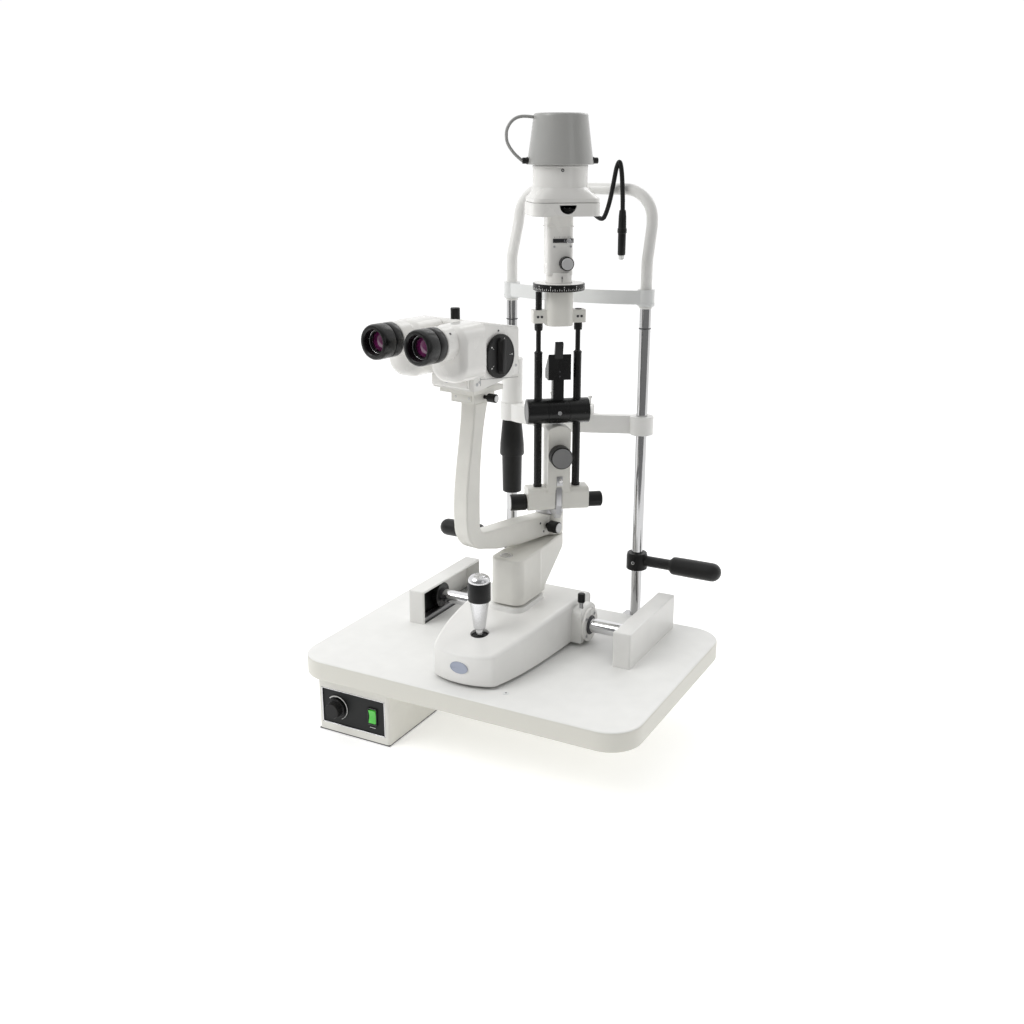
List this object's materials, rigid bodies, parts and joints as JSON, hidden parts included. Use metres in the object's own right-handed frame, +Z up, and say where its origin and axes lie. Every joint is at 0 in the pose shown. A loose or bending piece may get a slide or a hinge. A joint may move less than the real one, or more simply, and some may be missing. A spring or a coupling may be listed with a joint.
{
  "type": "slit lamp",
  "caption": "Slit lamp on a table top: travelling base with joystick, swinging binocular microscope and lamp tower, head and chin rest, hand grips and a power box below.",
  "frame": {"origin": "centre of the table top's underside, which is the centre of its four bolt holes", "axes": "+Z up, -Y towards the examiner, +Y towards the patient, +X to the examiner's right"},
  "size_m": [0.502, 0.4361, 0.826],
  "materials": {
    "white_laminate": "smooth laminate",
    "white_paint": "gloss enamel",
    "cream_paint": "satin enamel",
    "white_plastic": "moulded",
    "black_plastic": "fine grain",
    "black_metal": "black anodised",
    "rubber": "soft matt",
    "chrome": "polished",
    "steel": "machined",
    "aluminium": "satin",
    "panel_dark": "satin",
    "lamp_cap_grey": "satin",
    "lead_grey": "smooth sheath",
    "green_lens": "lit from within",
    "glass": "coated",
    "bulb_glass": "clear",
    "mirror": "silvered",
    "transformer_steel": "varnished core"
  },
  "bodies": {
    "table": {"table_board": "white_laminate", "right_rail_cover": "white_plastic", "left_rail_cover": "white_plastic", "racks": "steel", "power_box_case": "cream_paint", "power_box_panel": "panel_dark", "transformer": "transformer_steel", "mains_inlet": "black_plastic", "headrest_posts": "chrome", "headrest_arch": "white_paint", "forehead_band": "white_plastic"},
    "dimmer": {"dimmer_knob": "black_plastic"},
    "rocker": {"rocker_switch": "green_lens"},
    "carriage": {"axle_bearings": "black_plastic"},
    "axle": {"axle_shaft": "chrome", "axle_pinions": "steel"},
    "base": {"base_cover": "white_plastic", "base_plate": "aluminium", "axle_bushes": "white_plastic", "column_guide": "steel"},
    "base_lock": {"base_lock_knob": "black_plastic"},
    "joystick_ball": {"joystick_ball": "steel"},
    "joystick_stem": {"joystick_stem": "chrome"},
    "joystick_grip": {"joystick_grip": "aluminium"},
    "column": {"column_bracket": "cream_paint"},
    "microscope": {"microscope_arm": "cream_paint", "microscope_carriage": "cream_paint", "microscope_body": "white_paint", "objective_lenses": "glass"},
    "swing_lock": {"swing_lock_knob": "black_plastic"},
    "carriage_knob": {"carriage_knob": "black_plastic"},
    "magnification": {"magnification_dial": "black_plastic", "magnification_drum": "black_metal"},
    "right_ocular": {"right_ocular_housing": "white_paint"},
    "left_ocular": {"left_ocular_housing": "white_paint"},
    "right_eyepiece": {"right_eyepiece": "black_metal"},
    "left_eyepiece": {"left_eyepiece": "black_metal"},
    "illumination": {"illumination_arm": "steel"},
    "tower": {"tower_foot": "cream_paint", "tower_rods": "black_metal", "projection_housing": "cream_paint", "scale_ring": "black_metal"},
    "slit_width": {"slit_width_knobs": "black_plastic"},
    "centring": {"centring_knob": "black_plastic"},
    "mirror": {"mirror_holder": "black_metal", "mirror": "mirror"},
    "lamp_head": {"slit_housing": "white_paint", "filter_housing": "white_paint", "lamp_house": "white_paint", "lamp_bulb": "bulb_glass"},
    "slit_knob": {"slit_knob": "black_plastic"},
    "filter_lever": {"filter_lever": "chrome"},
    "filter_disc": {"filter_disc": "black_metal"},
    "lamp_cap": {"lamp_cap": "lamp_cap_grey", "lamp_lead": "lead_grey"},
    "chin_rest": {"chin_rest": "white_plastic"},
    "height_sleeve": {"height_sleeve": "black_plastic"},
    "right_grip": {"right_hand_grip": "rubber"},
    "left_grip": {"left_hand_grip": "rubber"},
    "fixation": {"fixation_arm": "black_plastic"}
  },
  "joints": [
    {"name": "dimmer_turn", "type": "hinge", "parent": "table", "child": "dimmer", "pos_m": [-0.192, -0.165, -0.044], "axis": [0, -1, 0], "range_deg": [0, 270]},
    {"name": "power_rocker", "type": "hinge", "parent": "table", "child": "rocker", "pos_m": [-0.133, -0.16, -0.044], "axis": [1, 0, 0], "range_deg": [-8, 8]},
    {"name": "carriage_depth", "type": "slide", "parent": "table", "child": "carriage", "axis": [0, -1, 0], "range_m": [-0.055, 0]},
    {"name": "axle_roll", "type": "hinge", "parent": "carriage", "child": "axle", "pos_m": [0, 0.058, 0.0545], "axis": [1, 0, 0], "range_deg": [-172, 2]},
    {"name": "base_cross", "type": "slide", "parent": "carriage", "child": "base", "axis": [1, 0, 0], "range_m": [-0.05, 0.05]},
    {"name": "base_lock", "type": "hinge", "parent": "base", "child": "base_lock", "pos_m": [0.08, 0.05, 0.09], "axis": [0, 0, 1], "range_deg": [-180, 20]},
    {"name": "joystick_fore_aft", "type": "hinge", "parent": "base", "child": "joystick_ball", "pos_m": [0, -0.099, 0.049], "axis": [1, 0, 0], "range_deg": [-8, 8]},
    {"name": "joystick_sideways", "type": "hinge", "parent": "joystick_ball", "child": "joystick_stem", "pos_m": [0, -0.099, 0.049], "axis": [0, 1, 0], "range_deg": [-8, 8]},
    {"name": "joystick_turn", "type": "hinge", "parent": "joystick_stem", "child": "joystick_grip", "pos_m": [0, -0.099, 0.12], "axis": [0, 0, 1], "range_deg": [-676, 4]},
    {"name": "elevation", "type": "slide", "parent": "base", "child": "column", "axis": [0, 0, 1], "range_m": [0, 0.028]},
    {"name": "microscope_swing", "type": "hinge", "parent": "column", "child": "microscope", "pos_m": [0, 0.107, 0.182], "axis": [0, 0, 1], "range_deg": [-50, 30]},
    {"name": "swing_lock", "type": "hinge", "parent": "microscope", "child": "swing_lock", "pos_m": [0.01009, 0.08296, 0.183], "axis": [0.9857, -0.1685, 0], "range_deg": [-90, 90]},
    {"name": "carriage_screw", "type": "hinge", "parent": "microscope", "child": "carriage_knob", "pos_m": [-0.00893, -0.06394, 0.396], "axis": [0.9857, -0.1685, 0], "range_deg": [-90, 90]},
    {"name": "magnification", "type": "hinge", "parent": "microscope", "child": "magnification", "pos_m": [0.00656, -0.05644, 0.449], "axis": [0.9857, -0.1685, 0], "continuous": true},
    {"name": "right_ocular_swing", "type": "hinge", "parent": "microscope", "child": "right_ocular", "pos_m": [-0.02389, -0.10399, 0.449], "axis": [-0.1685, -0.9857, 0], "range_deg": [-4, 10]},
    {"name": "left_ocular_swing", "type": "hinge", "parent": "microscope", "child": "left_ocular", "pos_m": [-0.04755, -0.09995, 0.449], "axis": [-0.1685, -0.9857, 0], "range_deg": [-10.5, 4.5]},
    {"name": "right_dioptre", "type": "hinge", "parent": "right_ocular", "child": "right_eyepiece", "pos_m": [-0.0126, -0.17592, 0.4785], "axis": [-0.1685, -0.9857, 0], "range_deg": [-90, 90]},
    {"name": "left_dioptre", "type": "hinge", "parent": "left_ocular", "child": "left_eyepiece", "pos_m": [-0.08209, -0.16404, 0.4785], "axis": [-0.1685, -0.9857, 0], "range_deg": [-90, 90]},
    {"name": "illumination_swing", "type": "hinge", "parent": "column", "child": "illumination", "pos_m": [0, 0.107, 0.205], "axis": [0, 0, 1], "range_deg": [-70, 45]},
    {"name": "tower_tilt", "type": "hinge", "parent": "illumination", "child": "tower", "pos_m": [0.02894, 0.06996, 0.227], "axis": [0.788, 0.6157, 0], "range_deg": [0, 20]},
    {"name": "slit_width", "type": "hinge", "parent": "tower", "child": "slit_width", "pos_m": [0.02894, 0.06996, 0.227], "axis": [0.788, 0.6157, 0], "range_deg": [-135, 135]},
    {"name": "centring", "type": "hinge", "parent": "tower", "child": "centring", "pos_m": [0.04002, 0.05578, 0.297], "axis": [0.6157, -0.788, 0], "range_deg": [-180, 180]},
    {"name": "mirror_tilt", "type": "hinge", "parent": "tower", "child": "mirror", "pos_m": [0.02894, 0.06996, 0.356], "axis": [0.788, 0.6157, 0], "range_deg": [-5, 5]},
    {"name": "slit_rotation", "type": "hinge", "parent": "tower", "child": "lamp_head", "pos_m": [0.02894, 0.06996, 0.52], "axis": [0, 0, 1], "range_deg": [-90, 90]},
    {"name": "slit_length", "type": "hinge", "parent": "lamp_head", "child": "slit_knob", "pos_m": [0.04167, 0.06341, 0.556], "axis": [0.6157, -0.788, 0], "range_deg": [-90, 90]},
    {"name": "filter_shift", "type": "slide", "parent": "lamp_head", "child": "filter_lever", "axis": [0.788, 0.6157, 0], "range_m": [-0.014, 0.0025]},
    {"name": "filter_turn", "type": "hinge", "parent": "lamp_head", "child": "filter_disc", "pos_m": [0.04534, 0.07009, 0.624], "axis": [0, 0, 1], "continuous": true},
    {"name": "cap_lift", "type": "slide", "parent": "lamp_head", "child": "lamp_cap", "axis": [0, 0, 1], "range_m": [0, 0.06]},
    {"name": "chin_height", "type": "slide", "parent": "table", "child": "chin_rest", "axis": [0, 0, 1], "range_m": [-0.03, 0.04]},
    {"name": "chin_sleeve_turn", "type": "hinge", "parent": "chin_rest", "child": "height_sleeve", "pos_m": [-0.106, 0.1892, 0.246], "axis": [0, 0, 1], "range_deg": [-544, 724]},
    {"name": "right_grip_turn", "type": "hinge", "parent": "table", "child": "right_grip", "pos_m": [0.106, 0.1892, 0.113], "axis": [0, 0, 1], "range_deg": [-20, 60]},
    {"name": "left_grip_turn", "type": "hinge", "parent": "table", "child": "left_grip", "pos_m": [-0.106, 0.1892, 0.113], "axis": [0, 0, -1], "range_deg": [-20, 60]},
    {"name": "fixation_swing", "type": "hinge", "parent": "table", "child": "fixation", "pos_m": [-0.01, 0.212, 0.646], "axis": [1, 0, 0], "range_deg": [-30, 40]}
  ],
  "couplings": [
    {"joint": "axle_roll", "follows": "carriage_depth", "rad_per_m": 53.191},
    {"joint": "joystick_turn", "follows": "elevation", "rad_per_m": -418.88},
    {"joint": "left_ocular_swing", "follows": "right_ocular_swing", "ratio": -1},
    {"joint": "chin_sleeve_turn", "follows": "chin_height", "rad_per_m": 314.16}
  ]
}
